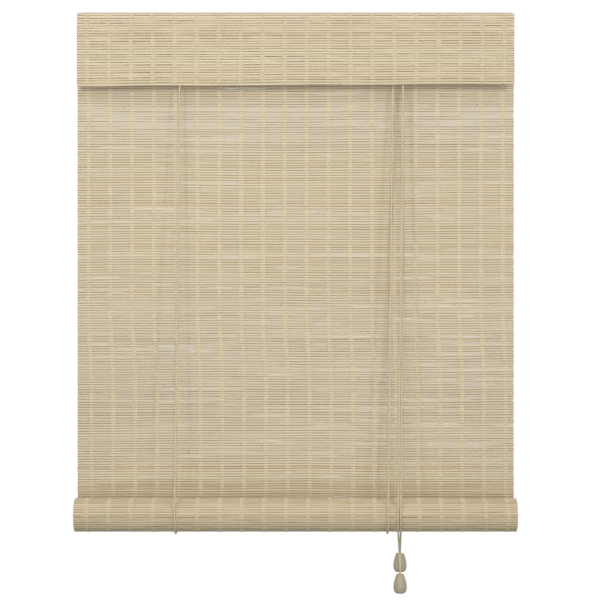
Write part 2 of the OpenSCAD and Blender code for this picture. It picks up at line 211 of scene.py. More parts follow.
def newGroup(name, inputs, outputs):
    group = bpy.data.node_groups.new(name, "ShaderNodeTree")
    for label, value in inputs:
        socket = group.interface.new_socket(label, in_out="INPUT", socket_type="NodeSocketFloat")
        socket.default_value = value
    for label in outputs:
        group.interface.new_socket(label, in_out="OUTPUT", socket_type="NodeSocketFloat")
    return group, group.nodes.new("NodeGroupInput"), group.nodes.new("NodeGroupOutput")


def useGroup(tree, group, **values):
    node = tree.nodes.new("ShaderNodeGroup")
    node.node_tree = group
    for label, value in values.items():
        node.inputs[label].default_value = value
    return node.outputs


def newMaterial(name):
    material = bpy.data.materials.new(name)
    material.use_nodes = True
    tree = material.node_tree
    return material, tree, tree.nodes["Principled BSDF"]


def bumped(tree, shader, height, strength, distance):
    bump = addNode(tree, "Bump")
    bump.inputs["Strength"].default_value = strength
    bump.inputs["Distance"].default_value = distance
    tree.links.new(height, bump.inputs["Height"])
    tree.links.new(bump.outputs[0], shader.inputs["Normal"])


def roughened(tree, shader, grain, least, swing):
    # rougher where the grain is high
    feed(tree, math2(tree, "MULTIPLY_ADD", grain, swing, least), shader.inputs["Roughness"])


# shared effects
def makeFibreGrain():
    # streaks along X, fine across, for bamboo and wood
    inputs = [("Along", 9), ("Across", 1000), ("Contrast", 0.1)]
    group, given, out = newGroup("fibreGrain", inputs, ["Shade", "Height"])
    place = addNode(group, "TexCoord")
    stretch = addNode(group, "CombineXYZ")
    for socket, label in zip(stretch.inputs, ("Along", "Across", "Across")):
        group.links.new(given.outputs[label], socket)
    scaled = addNode(group, "VectorMath", operation="MULTIPLY")
    group.links.new(place.outputs["Object"], scaled.inputs[0])
    group.links.new(stretch.outputs[0], scaled.inputs[1])
    noise = addNode(group, "TexNoise")
    noise.inputs["Scale"].default_value = 1
    noise.inputs["Detail"].default_value = 3
    noise.inputs["Roughness"].default_value = 0.6
    group.links.new(scaled.outputs[0], noise.inputs["Vector"])
    swing = math2(group, "MULTIPLY_ADD", noise.outputs[0], 2.0, -1.0)
    shade = math2(group, "MULTIPLY_ADD", swing, given.outputs["Contrast"], 1.0)
    group.links.new(shade, out.inputs["Shade"])
    group.links.new(noise.outputs[0], out.inputs["Height"])
    return group


def makeSlowPatches():
    # broad lighter and darker patches, for anything that has aged unevenly
    group, given, out = newGroup("slowPatches", [("Scale", 8), ("Amount", 0.05)], ["Shade"])
    place = addNode(group, "TexCoord")
    noise = addNode(group, "TexNoise")
    noise.inputs["Detail"].default_value = 2
    group.links.new(place.outputs["Object"], noise.inputs["Vector"])
    group.links.new(given.outputs["Scale"], noise.inputs["Scale"])
    swing = math2(group, "MULTIPLY_ADD", noise.outputs[0], 2.0, -1.0)
    shade = math2(group, "MULTIPLY_ADD", swing, given.outputs["Amount"], 1.0)
    group.links.new(shade, out.inputs["Shade"])
    return group


def makeStrandRelief():
    # plies that wind round a thread, and with Cross at 1 a second set the other way, as in a braid; Crease
    # is painted shade in the grooves between the plies
    inputs = [("Strands", 2), ("Turns", 0.5), ("Cross", 0)]
    group, given, out = newGroup("strandRelief", inputs, ["Height", "Crease"])
    place = addNode(group, "UVMap", uv_map="along")
    parts = addNode(group, "SeparateXYZ")
    group.links.new(place.outputs[0], parts.inputs[0])
    around = math2(group, "MULTIPLY", parts.outputs["X"], given.outputs["Strands"])
    along = math2(group, "MULTIPLY", parts.outputs["Y"], given.outputs["Turns"])
    waves = []
    for operation in ("ADD", "SUBTRACT"):
        phase = math2(group, operation, around, along)
        waves.append(math2(group, "SINE", math2(group, "MULTIPLY", phase, 2 * math.pi)))
    drop = math2(group, "SUBTRACT", given.outputs["Cross"], 1.0)
    second = math2(group, "MULTIPLY_ADD", waves[1], given.outputs["Cross"], drop)
    top = math2(group, "MAXIMUM", waves[0], second)
    height = math2(group, "MULTIPLY_ADD", top, 0.5, 0.5)
    group.links.new(height, out.inputs["Height"])
    creaseShade = math2(group, "POWER", math2(group, "SUBTRACT", 1.0, height), 2.0)
    group.links.new(creaseShade, out.inputs["Crease"])
    return group


fibreGrain = makeFibreGrain()
slowPatches = makeSlowPatches()
strandRelief = makeStrandRelief()


# cords
cordLook = {
    "diameter": 2.6,           # mm
    "corners": 10,
    "ringStep": 9,             # mm
    "colour": (212, 198, 167),
    # the crease colours are painted shade in the grooves between the braid's plies
    "creaseShade": (174, 158, 126),
    "handled": (170, 160, 140),  # the lengths that hands pull are greyer
    "handledCreaseShade": (128, 118, 98),
    "grey": (22, 18),          # how far down they turn grey, and over what length, mm
    "clean": (68, 5),          # and how far down they are clean again
    "braid": {"Strands": 4, "Turns": 0.45, "Cross": 1},
    "patches": {"Scale": 60, "Amount": 0.05},
    "roughness": 0.85,
    "sheen": 0.15,
}


def makeCordMaterial(name, handled):
    material, tree, shader = newMaterial(name)
    braid = useGroup(tree, strandRelief, **cordLook["braid"])
    patches = useGroup(tree, slowPatches, **cordLook["patches"])
    pale, dark = rgb(*cordLook["colour"]), rgb(*cordLook["creaseShade"])
    if handled:
        along = addNode(tree, "SeparateXYZ")
        tree.links.new(addNode(tree, "UVMap", uv_map="along").outputs[0], along.inputs[0])
        ramps = []
        for start, length in (cordLook["grey"], cordLook["clean"]):
            scale = cordLook["diameter"] / length  # v counts diameters
            ramps.append(math2(tree, "MULTIPLY_ADD", along.outputs["Y"], scale, -start / length))
        grey = math2(tree, "MINIMUM", ramps[0], 1.0)
        clean = math2(tree, "MAXIMUM", ramps[1], 0.0)
        worn = math2(tree, "SUBTRACT", grey, clean)
        pale = mixColour(tree, worn, pale, rgb(*cordLook["handled"]))
        dark = mixColour(tree, worn, dark, rgb(*cordLook["handledCreaseShade"]))
    # painted shade in the braid's creases
    colour = mixColour(tree, braid["Crease"], pale, dark)
    feed(tree, shaded(tree, colour, patches["Shade"]), shader.inputs["Base Color"])
    shader.inputs["Roughness"].default_value = cordLook["roughness"]
    shader.inputs["Sheen Weight"].default_value = cordLook["sheen"]
    bumped(tree, shader, braid["Height"], strength=0.6, distance=0.0004)
    return material


def smoothRoute(points, step):
    # a smooth line through the points, with a ring about every step
    points = np.array(points, float)
    gaps = np.linalg.norm(np.diff(points, axis=0), axis=1)
    slopes = np.empty_like(points)
    slopes[1:-1] = (points[2:] - points[:-2]) / (gaps[1:] + gaps[:-1])[:, None]
    slopes[0] = (points[1] - points[0]) / gaps[0]
    slopes[-1] = (points[-1] - points[-2]) / gaps[-1]
    line = []
    for i, gap in enumerate(gaps):
        t = np.linspace(0, 1, max(2, math.ceil(gap / step)), endpoint=False)[:, None]
        line.append((2 * t**3 - 3 * t**2 + 1) * points[i] + (t**3 - 2 * t**2 + t) * gap * slopes[i]
                    + (3 * t**2 - 2 * t**3) * points[i + 1] + (t**3 - t**2) * gap * slopes[i + 1])
    return np.concatenate(line + [points[-1:]]) * mm


def makeCord(name, route, nodes, side=(1, 0, 0),
             handled=False):
    line = smoothRoute(route, cordLook["ringStep"])
    ahead = np.gradient(line, axis=0)
    ahead[[0, -1]] *= (0, 0, 1)  # level ends, so that two lengths of cord meet face to face
    ahead /= np.linalg.norm(ahead, axis=1)[:, None]
    u = np.cross(ahead, side)
    u /= np.linalg.norm(u, axis=1)[:, None]
    v = np.cross(ahead, u)
    turn = 2 * np.pi * np.arange(cordLook["corners"]) / cordLook["corners"]
    radius = cordLook["diameter"] / 2 * mm
    ring = np.cos(turn)[None, :, None] * u[:, None] + np.sin(turn)[None, :, None] * v[:, None]
    grid = line[:, None] + radius * ring
    walked = np.concatenate([[0], np.cumsum(np.linalg.norm(np.diff(line, axis=0), axis=1))])
    piece = sweepMesh(name, [grid[None]], lengths=[walked / (2 * radius)])
    piece.data.materials.append(handledMaterial if handled else cordMaterial)
    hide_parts(*nodes)
    return piece


# routes as in the part's source, mm
underRoll = [(12, -684.5), (9.8, -694.5), (4, -702.8), (-4.4, -708.2), (-14.3, -710), (-23.9, -707.9),
             (-32, -702.3), (-37.3, -694), (-39, -684.5)]
liftCords = {
    "left": {
        "rear": [(-161, 14, -20), (-161.5, 13.5, -340), (-162.5, 12, -662), (-163, 12, -684.5)],
        "bend": [(-163, y, z) for y, z in underRoll],
        "front": [(-158, -3.1, -36), (-160.5, -21, -360), (-163, -39, -684.5)],
        "pull": [(148, -3.1, -36), (143, -21, -360), (138, -39, -684.5)],
        "tassel": [(138, -39, -684.5), (138, -39, -698), (138.3, -39.6, -708), (138.9, -41, -718),
                   (139.6, -42.6, -730), (140.3, -43.7, -742), (140.5, -44, -754), (140.5, -44, -774.5)],
        "over": ("left_cross_cord", [
            (-158, -3.1, -36), (-157.5, -3.1, -33.3), (-156, -3.1, -31.1), (-153.7, -3.1, -29.5),
            (-151, -3.1, -29), (-5, -3.1, -29), (141, -3.1, -29), (143.7, -3.1, -29.5),
            (146, -3.1, -31.1), (147.5, -3.1, -33.3), (148, -3.1, -36)]),
        "weight": "lower_acorn",
    },
    "right": {
        "rear": [(131, 14, -20), (128.5, 13.5, -340), (126, 12, -662), (125, 12, -684.5)],
        "bend": [(125, y, z) for y, z in underRoll[:-1]] + [(124.5, -39, -684.5)],
        "front": [(134, 3.1, -36), (129.3, -18, -360), (124.5, -39, -684.5)],
        "pull": [(148, 3.1, -36), (144.9, -18, -360), (141.8, -39, -684.5)],
        "tassel": [(141.8, -39, -684.5), (141.8, -39, -696), (141.7, -38, -705), (141.5, -36, -715),
                   (141.2, -34, -725), (141, -33, -733), (141, -33, -747.5)],
        "over": ("right_turn_cord", [
            (134, 3.1, -36), (134.5, 3.1, -33.3), (136, 3.1, -31.1), (138.3, 3.1, -29.5), (141, 3.1, -29),
            (143.7, 3.1, -29.5), (146, 3.1, -31.1), (147.5, 3.1, -33.3), (148, 3.1, -36)]),
        "weight": "upper_acorn",
    },
}
valanceFoot = -101.5  # height at which the cords come out from behind the valance, mm
rollFront = -662.5    # below this they go with the roll, to pass in front of it when it is up, mm


def cutRoute(route, height):
    # the part of a run above a height and the part below it
    below = next(i for i, point in enumerate(route) if point[2] < height)
    top, bottom = (np.array(point, float) for point in route[below - 1:below + 1])
    cut = tuple(top + (bottom - top) * (top[2] - height) / (top[2] - bottom[2]))
    return list(route[:below]) + [cut], [cut] + list(route[below:])


def squashRun(piece):
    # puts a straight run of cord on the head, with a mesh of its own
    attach(piece, "head")
    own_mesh(piece)


def makeLiftCord(hand, runs):
    liftNode, pullNode, tasselNode = (f"{hand}_{part}_cord" for part in ("lift", "pull", "tassel"))
    feet = {}
    for label, node, lay in (("front", liftNode, "taut"), ("pull", pullNode, "hanging")):
        upper, lower = cutRoute(runs[label], valanceFoot)
        middle, feet[label] = cutRoute(lower, rollFront)
        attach(makeCord(hand + label.title() + "Top", upper, [node]), "head")
        squashRun(makeCord(hand + label.title() + "Run", middle, [node]))
    squashRun(makeCord(hand + "RearRun", runs["rear"], [liftNode]))
    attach(makeCord(hand + "RollBend", runs["bend"] + feet["front"][:1], [liftNode]), "cord_loops")
    node, route = runs["over"]
    wheelRun = makeCord(hand + "WheelRun", route, [node], side=(0, 1, 0))
    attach(wheelRun, "head")  # it lies on its wheels all the way
    tassel = makeCord(hand + "Tassel", feet["pull"][:1] + runs["tassel"], [tasselNode],
                      handled=True)
    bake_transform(tassel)


cordMaterial = makeCordMaterial("braidedCord", handled=False)
handledMaterial = makeCordMaterial("handledCord", handled=True)
for hand, runs in liftCords.items():
    makeLiftCord(hand, runs)
print("cords made")


# bamboo slats and warp yarn
slatLook = {
    "tones": [(0.0, (174, 149, 110)), (0.18, (196, 174, 136)), (0.55, (213, 197, 167)),
              (0.8, (217, 202, 173)), (1.0, (222, 209, 182))],
    "tone": (0.57, 0.11, 0.02),  # middle, spread and least of the slats' tones
    # edge: painted shade in the grooves between slats, at their edges
    "edge": (102, 84, 58),
    "edgeMost": 0.9,           # how far the darkest edges take that colour
    "edgeRange": (0.3, 1),     # least and greatest darkness along an edge
    "looseEdge": 0.5,          # how much of that painted shade is lost where a slat is loose and its gap opens
    "node": (134, 104, 68),
    "nodeReach": 0.97,         # share of a slat's length that its two nodes may lie in
    "nodeHalf": 1.5,           # half the length of a node's mark, mm
    "nodeRings": (-2.4, -1.0, 1.0, 2.4),  # rings at a node, mm
    "nodeDark": 0.4,           # of the darkest mark
    "nodeSwell": 0.12,         # how much thicker the slat is there, for a mark of 1
    "pink": (216, 192, 168),
    "green": (202, 198, 164),
    "oddDraw": 37.7,           # makes a second number of a slat's tone
    "pinkAbove": 0.7,          # slats for which that number is higher are pinkish
    "greenBelow": 0.25,        # and lower, greenish
    "oddAmount": 0.16,
    "bleached": (204, 195, 176),
    "fine": {"Along": 9, "Across": 1300, "Contrast": 0.10},
    "coarse": {"Along": 5, "Across": 330, "Contrast": 0.09},
    "patches": {"Scale": 9, "Amount": 0.04},
    "specular": 0.3,
    "ends": (0.15, 0.4),       # how unevenly slats are cut, and at most, mm
    "thickness": (0.88, 1.05),  # share of the mat's
    "bow": 0.1,                # mm
    "bowWaves": (0.12, 0.5),   # over lengths between these, m
    "shift": 0.06,             # how unevenly slats stand out, mm
}
yarnLook = {
    "colour": (230, 215, 182),
    # the crease colour is painted shade in the grooves between the yarn's plies
    "creaseShade": (198, 181, 146),
    # soiled: the colour of soiled yarn, also used as painted shade on the yarn just above the roll
    "soiled": (178, 156, 120),
    "pairs": 3,                # side by side in a row
    "spacing": 1.9,            # mm
    "size": (2.1, 0.56),       # width and thickness of a yarn, mm
    "reach": 0.5,              # share of a slat's height over which a yarn stays on its face
    "standOff": 0.55,          # of its middle from that face, as a share of half its thickness
    "stray": 0.09,             # how unevenly it lies to the sides, mm
    "twist": {"Strands": 2, "Turns": 0.7},
    "patches": {"Scale": 90, "Amount": 0.08},
    "roughness": 0.9,
    "sheen": 0.2,
}
weave = {
    "slatPitch": 3.5,          # mm
    "rows": 20,                # of warp yarn across the mat
    "rowSpacing": 30,          # mm
}


def makeSlatMaterial():
    material, tree, shader = newMaterial("slatBamboo")
    tone, edge, node, bleach = (addNode(tree, "Attribute", attribute_name="slat" + mark).outputs["Fac"]
                                for mark in ("Tone", "Edge", "Node", "Bleach"))
    ramp = addNode(tree, "ValToRGB")
    tree.links.new(tone, ramp.inputs[0])
    stops = ramp.color_ramp.elements
    for _ in slatLook["tones"][2:]:
        stops.new(0.5)
    for stop, (place, colour) in zip(stops, slatLook["tones"]):
        stop.position = place
        stop.color = rgb(*colour)
    # two odd hues, picked by a second number drawn from the tone
    odd = math2(tree, "FRACT", math2(tree, "MULTIPLY", tone, slatLook["oddDraw"]))
    pink = math2(tree, "GREATER_THAN", odd, slatLook["pinkAbove"])
    green = math2(tree, "LESS_THAN", odd, slatLook["greenBelow"])
    colour = ramp.outputs[0]
    for hue, picked in (("pink", pink), ("green", green)):
        amount = math2(tree, "MULTIPLY", picked, slatLook["oddAmount"])
        colour = mixColour(tree, amount, colour, rgb(*slatLook[hue]))
    colour = mixColour(tree, bleach, colour, rgb(*slatLook["bleached"]))
    fine = useGroup(tree, fibreGrain, **slatLook["fine"])
    coarse = useGroup(tree, fibreGrain, **slatLook["coarse"])
    patches = useGroup(tree, slowPatches, **slatLook["patches"])
    colour = shaded(tree, colour, product(tree, fine["Shade"], coarse["Shade"], patches["Shade"]))
    colour = mixColour(tree, product(tree, node, coarse["Height"]), colour, rgb(*slatLook["node"]))
    # painted shade in the grooves between slats, darkest at their edges
    colour = mixColour(tree, product(tree, edge, slatLook["edgeMost"]), colour, rgb(*slatLook["edge"]))
    feed(tree, colour, shader.inputs["Base Color"])
    roughened(tree, shader, fine["Height"], least=0.45, swing=0.25)
    shader.inputs["Specular IOR Level"].default_value = slatLook["specular"]
    bumped(tree, shader, fine["Height"], strength=0.12, distance=0.0003)
    return material


def makeYarnMaterial():
    material, tree, shader = newMaterial("warpYarn")
    twist = useGroup(tree, strandRelief, **yarnLook["twist"])
    patches = useGroup(tree, slowPatches, **yarnLook["patches"])
    # painted shade in the twist's creases
    colour = mixColour(tree, twist["Crease"], rgb(*yarnLook["colour"]), rgb(*yarnLook["creaseShade"]))
    # soiled yarn, and painted shade on the yarn just above the roll
    soilAndShade = addNode(tree, "Attribute", attribute_name="yarnSoilAndShade").outputs["Fac"]
    colour = mixColour(tree, soilAndShade, colour, rgb(*yarnLook["soiled"]))
    feed(tree, shaded(tree, colour, patches["Shade"]), shader.inputs["Base Color"])
    shader.inputs["Roughness"].default_value = yarnLook["roughness"]
    shader.inputs["Sheen Weight"].default_value = yarnLook["sheen"]
    bumped(tree, shader, twist["Height"], strength=0.5, distance=0.0002)
    return material


slatMaterial = makeSlatMaterial()
yarnMaterial = makeYarnMaterial()
slatPitch = weave["slatPitch"] * mm
warpRows = (np.arange(weave["rows"]) - (weave["rows"] - 1) / 2) * weave["rowSpacing"] * mm
# outlines: half a slat's height and thickness are 1, and half a yarn's width and thickness
slatBar = np.array([(0.55, 1), (-0.55, 1), (-1, 0.5), (-1, -0.5),
                    (-0.55, -1), (0.55, -1), (1, -0.5), (1, 0.5)])
yarnBar = np.array([(1, 0), (0, 1), (-1, 0), (0, -1)])


def slatSteps(length, spread):
    # heights of slats that fill a length of mat, none quite like the next
    count = round(length / slatPitch)
    steps = 1 + spread * rng.standard_normal(count).clip(-2, 2)
    return steps * length / steps.sum()


def flatLayout(node, spread):
    # slats of a hanging mat, from the top down: middles, outward and downward directions in Y and Z
    low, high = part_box(node)
    steps = slatSteps(high.z - low.z, spread)
    z = high.z - np.cumsum(steps) + steps / 2
    count = len(steps)
    return {
        "middle": np.stack([np.full(count, (low.y + high.y) / 2), z], 1),
        "out": np.tile((-1.0, 0.0), (count, 1)),
        "down": np.tile((0.0, -1.0), (count, 1)),
        "step": steps,
        "thick": (high.y - low.y) / 2,
        "halfWidth": high.x,
        "darker": np.zeros(count),
        "index": np.arange(count),
    }


def part(layout, keep):
    # some of a layout's slats
    return {key: value[keep] if isinstance(value, np.ndarray) else value for key, value in layout.items()}


def makeSlats(name, groups, look, wave, wear=None):
    # groups are (layout, rings along a slat), and wave(x, z) shifts a point
    # wear(x, z) gives how loose and how bleached the slats are
    grids, marks = [], {"slatTone": [], "slatEdge": [], "slatNode": [], "slatBleach": []}
    for layout, rings in groups:
        count = len(layout["step"])
        uneven, most = slatLook["ends"]
        ends = layout["halfWidth"] + rng.normal(0, uneven, (count, 2)).clip(-most, most) * mm
        share = np.linspace(0, 1, rings)
        x = -ends[:, :1] + share * ends.sum(1)[:, None]
        nodeX = rng.uniform(-1, 1, (count, 2)) * slatLook["nodeReach"] * layout["halfWidth"]
        if rings > 2:
            close = np.array(slatLook["nodeRings"]) * mm
            x = np.sort(np.concatenate([x] + [nodeX[:, i:i + 1] + close for i in (0, 1)], 1), 1)
            x = x.clip(-ends[:, :1], ends[:, 1:])
        nearNode = np.abs(x[:, :, None] - nodeX[:, None]).min(2) < slatLook["nodeHalf"] * mm
        nodeMark = nearNode * slatLook["nodeDark"] * rng.uniform(0, 1, (count, 1)) ** 2
        gap = rng.uniform(*look["gap"], (count, 1)) * mm
        loose, bleach = wear(x, layout["middle"][:, 1:]) if wear else np.zeros((2,) + x.shape)
        gape = loose * look["gape"] * mm / 2
        high = (layout["step"][:, None] - gap) / 2 + np.zeros_like(x) - gape
        swell = 1 + slatLook["nodeSwell"] * nodeMark
        thick = layout["thick"] * rng.uniform(*slatLook["thickness"], (count, 1)) * swell
        bowLength = rng.uniform(*slatLook["bowWaves"], (count, 1))
        bowStart = rng.uniform(0, 1, (count, 1))
        bow = slatLook["bow"] * mm * np.sin(2 * np.pi * (x / bowLength + bowStart)) - gape
        shift = rng.normal(0, slatLook["shift"], (count, 1)) * mm
        across = high[:, :, None] * slatBar[:, 0] + bow[:, :, None]
        outward = thick[:, :, None] * slatBar[:, 1] + shift[:, :, None]
        flat = (layout["middle"][:, None, None] + across[..., None] * layout["down"][:, None, None]
                + outward[..., None] * layout["out"][:, None, None])
        grid = np.concatenate([np.broadcast_to(x[:, :, None, None], flat.shape[:3] + (1,)), flat], 3)
        grids.append(grid + wave(grid[..., 0], grid[..., 2]))
        middle, spread, least = slatLook["tone"]
        # darker holds the roll's darker tone and the painted shade just above the roll
        tone = (middle + spread * rng.standard_normal(count) - layout["darker"]).clip(least, 1)
        marks["slatTone"].append(np.broadcast_to(tone[:, None, None], flat.shape[:3]))
        threeWaves = (count, 1, 3)
        waves = rng.uniform(*look["edgeWaves"], threeWaves) * mm
        swing = np.sin(2 * np.pi * (x[..., None] / waves + rng.uniform(0, 1, threeWaves))).mean(2)
        dark = (look["edge"] * (1 + look["edgeSwing"] * swing)).clip(*slatLook["edgeRange"])
        # painted shade in the grooves between slats, at their edges; a slat's lower edge opens where it is
        # loose itself, its upper edge where the one above is, and there the painted shade is weaker
        opened = np.where(slatBar[:, 0] > 0, loose[:, :, None], np.roll(loose, 1, 0)[:, :, None])
        shut = 1 - slatLook["looseEdge"] * opened
        marks["slatEdge"].append((np.abs(slatBar[:, 0]) == 1) * shut * dark[:, :, None])
        marks["slatBleach"].append(np.broadcast_to(bleach[:, :, None], flat.shape[:3]))
        marks["slatNode"].append(np.broadcast_to(nodeMark[:, :, None], flat.shape[:3]))
    piece = sweepMesh(name, grids, marks)
    piece.data.materials.append(slatMaterial)
    return piece


def makeYarn(name, layout, rows, wave, drift, soiled=0):
    # each yarn of a pair goes over one slat and under the next, and the other one the other way
    count = len(layout["step"])
    pairs = yarnLook["pairs"]
    yarns = 2 * pairs
    lanes = np.repeat((np.arange(pairs) - (pairs - 1) / 2) * yarnLook["spacing"] * mm, 2)
    over = np.where((layout["index"] + np.arange(yarns)[:, None]) % 2, 1.0, -1.0)
    run = np.array([-1, 1]) * yarnLook["reach"]
    halfWide, halfThick = (s / 2 * mm for s in yarnLook["size"])
    depth = layout["thick"] + halfThick * yarnLook["standOff"]
    along = run[:, None] * layout["step"][:, None, None] / 2 * layout["down"][:, None]
    aside = depth * over[:, :, None, None] * layout["out"][:, None]
    path = layout["middle"][:, None] + along + aside
    # at both ends it goes on to the edge of the slat, half way through the mat,
    # where the next length takes over
    ends = [layout["middle"][i] + side * layout["down"][i] * layout["step"][i] / 2
            for i, side in ((0, -1), (-1, 1))]
    first, last = (np.broadcast_to(end, (yarns, 1, 2)) for end in ends)
    path = np.concatenate([first, path.reshape(yarns, count * 2, 2), last], 1)
    path = np.broadcast_to(path[None], (len(rows),) + path.shape)
    slat = np.concatenate([[0], np.repeat(np.arange(count), 2), [-1]])
    out = layout["out"][slat]
    x = rows[:, None, None] + lanes[None, :, None] + drift(path[..., 1])
    x = x + rng.normal(0, yarnLook["stray"], x.shape) * mm
    wide = x[..., None] + halfWide * yarnBar[:, 0]
    flat = path[..., None, :] + halfThick * yarnBar[:, 1][:, None] * out[:, None]
    grid = np.concatenate([wide[..., None], flat], -1)
    grid = grid.reshape(len(rows) * yarns, len(slat), len(yarnBar), 3)
    grid = grid + wave(grid[..., 0], grid[..., 2])
    walked = np.arange(len(slat)) * slatPitch / 2 / (2 * halfThick)
    # soiled yarn, and painted shade on the yarn just above the roll
    soilAndShade = np.broadcast_to((layout["darker"] + soiled)[slat][None, :, None], grid.shape[:3])
    piece = sweepMesh(name, [grid], {"yarnSoilAndShade": [soilAndShade]}, [walked])
    piece.data.materials.append(yarnMaterial)
    return piece


def raised(lift):
    # a shift straight up, by a lift in mm
    return np.stack([np.zeros_like(lift), np.zeros_like(lift), lift * mm], -1)


def noWave(x, z):
    return np.zeros(x.shape + (3,))


def noDrift(z):
    return np.zeros_like(z)


# hanging mat
hangingMat = {
    "spread": 0.05,            # how much slats differ in height
    "gap": (0.0, 0.05),        # between slats, mm
    "edge": 0.92,              # how dark the painted shade at the slats' edges is
    "edgeSwing": 0.4,          # and by what share that changes along a slat
    "edgeWaves": (90, 400),    # over lengths between these, mm
    "rings": 50,               # along a slat
    "waves": [(0.45, 0.47, 0.9, 0), (0.25, 0.21, -0.33, 0.3)],  # height, mm, length in x and z, m, start
    "footShade": (34, 0.28),   # painted shade: how far above the roll the slats and their yarn are darker, mm, and by how much
    "foldHeight": -118,        # the slats and yarn above this height make the upper pieces, and those below it the lower ones, which get meshes of their own, mm
    "drift": (4.1, -410, -505),  # how far the warp rows move to the right, and between which heights, mm
    "gape": 0.34,              # gap below a loose slat, mm
    "loose": 0.14,             # how readily slats come loose
    "tight": (0.35, 0.9),      # least and greatest hold of the warp on a slat
    "stretches": (10, 12, 45),  # along a slat, looser or tighter, their least and greatest half length, mm
    "stretchSwing": 0.5,       # how much looser or tighter they are at most
    "ease": 0.2,               # how gradually a slat comes loose
    "bleach": 0.8,             # how far slats fade where they come loose readily
    "openPatches": [           # x, z, half width, half height, mm, and how much more readily there
        (0, -150, 400, 40, 0.42),
        (-213, -134, 60, 26, 0.2),
        (245, -140, 60, 40, 0.2),
        (0, -505, 400, 110, 0.2),
        (234, -505, 66, 52, 0.16),
        (-186, -464, 105, 13, 0.2),
        (-145, -526, 80, 9, 0.2),
    ],
}


def hangingWave(x, z):
    return raised(sum(rise * np.sin(2 * np.pi * (x / wide + z / high + start))
                      for rise, wide, high, start in hangingMat["waves"]))


def hangingDrift(z):
    shift, top, foot = hangingMat["drift"]
    share = ((z / mm - top) / (foot - top)).clip(0, 1)
    return shift * mm * share**2 * (3 - 2 * share)


def hangingWear(x, z):
    chance = hangingMat["loose"] + np.zeros_like(x)
    for centreX, centreZ, wide, high, share in hangingMat["openPatches"]:
        away = ((x / mm - centreX) / wide) ** 2 + ((z / mm - centreZ) / high) ** 2
        chance += share * np.exp(-away)
    number, shortest, longest = hangingMat["stretches"]
    swing = hangingMat["stretchSwing"]
    tight = rng.uniform(*hangingMat["tight"], z.shape) + np.zeros_like(x)
    for _ in range(number):
        middle = rng.uniform(-1, 1, z.shape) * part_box("hanging_mat")[1].x
        half = rng.uniform(shortest, longest, z.shape) * mm
        tight += rng.uniform(-swing, swing, z.shape) * np.exp(-((x - middle) / half) ** 2)
    loose = ((chance - tight) / hangingMat["ease"] + 0.5).clip(0, 1)
    return loose, hangingMat["bleach"] * chance


def makeHangingMat():
    layout = flatLayout("hanging_mat", hangingMat["spread"])
    # painted shade on the slats and yarn just above the roll
    rise = layout["middle"][:, 1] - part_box("rolled_mat")[1].z
    reach, depth = hangingMat["footShade"]
    layout["darker"] += depth * (1 - rise / (reach * mm)).clip(0, 1)
    fold = hangingMat["foldHeight"] * mm
    above = layout["middle"][:, 1] > fold
    upper, lower = part(layout, above), part(layout, ~above)
    pieces = [makeSlats(name, [(slats, hangingMat["rings"])], hangingMat, hangingWave, hangingWear)
              for name, slats in (("matUpperSlats", upper), ("matLowerSlats", lower))]
    for piece in pieces:
        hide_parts("hanging_mat")
    half = len(warpRows) // 2
    yarns = [makeYarn("matUpperYarn", upper, warpRows, hangingWave, hangingDrift),
             makeYarn("matLowerYarnLeft", lower, warpRows[:half], hangingWave, hangingDrift),
             makeYarn("matLowerYarnRight", lower, warpRows[half:], hangingWave, hangingDrift)]
    for piece in yarns:
        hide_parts("hanging_threads")
    for piece in pieces + yarns:
        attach(piece, "head")
        if "Lower" in piece.name:
            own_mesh(piece)


makeHangingMat()
print("hanging mat made")


# valance
valance = {
    "spread": 0.06,
    "gap": (0.04, 0.10),
    "gape": 0,
    "edge": 0.9,
    "edgeSwing": 0.9,
    "edgeWaves": (40, 150),
    "rings": 40,
    "tilt": 1.6,               # how far the foot rises to the right and falls to the left, mm
    "rise": 0.8,               # and how far it rises all along, mm
    "ripple": 0.35,            # mm
    "rippleWave": (0.19, 0.2),  # its length, m, and start
    "soiled": 0.1,             # its yarn
}


def valanceWave(x, z):
    low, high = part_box("valance_mat")
    drop = (high.z - z) / (high.z - low.z)
    length, start = valance["rippleWave"]
    ripple = valance["ripple"] * np.sin(2 * np.pi * (x / length + start))
    return raised((valance["rise"] + valance["tilt"] * x / high.x + ripple) * drop)


def makeValance():
    layout = flatLayout("valance_mat", valance["spread"])
    slats = makeSlats("valanceSlats", [(layout, valance["rings"])], valance, valanceWave)
    yarn = makeYarn("valanceYarn", layout, warpRows, valanceWave, noDrift, valance["soiled"])
    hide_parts("valance_mat")
    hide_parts("valance_threads")
    for piece in (slats, yarn):
        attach(piece, "head")


makeValance()
print("valance made")


# roll
roll = {
    "turnPitch": 2.6,          # mm from one turn to the next
    "coreGap": 0.3,            # between the rod and the first turn, mm
    "spread": 0.05,
    "gap": (0.02, 0.08),
    "gape": 0,
    "edge": 0.64,
    "edgeSwing": 0.9,
    "edgeWaves": (40, 150),
    "rings": 40,
    "innerRings": 2,           # along the slats of the inner turns, which are straight bars
    "darker": 0.12,            # how much darker its slats are than the mat's
    "yarnTurns": 1.15,         # outer turns whose yarn is made
}


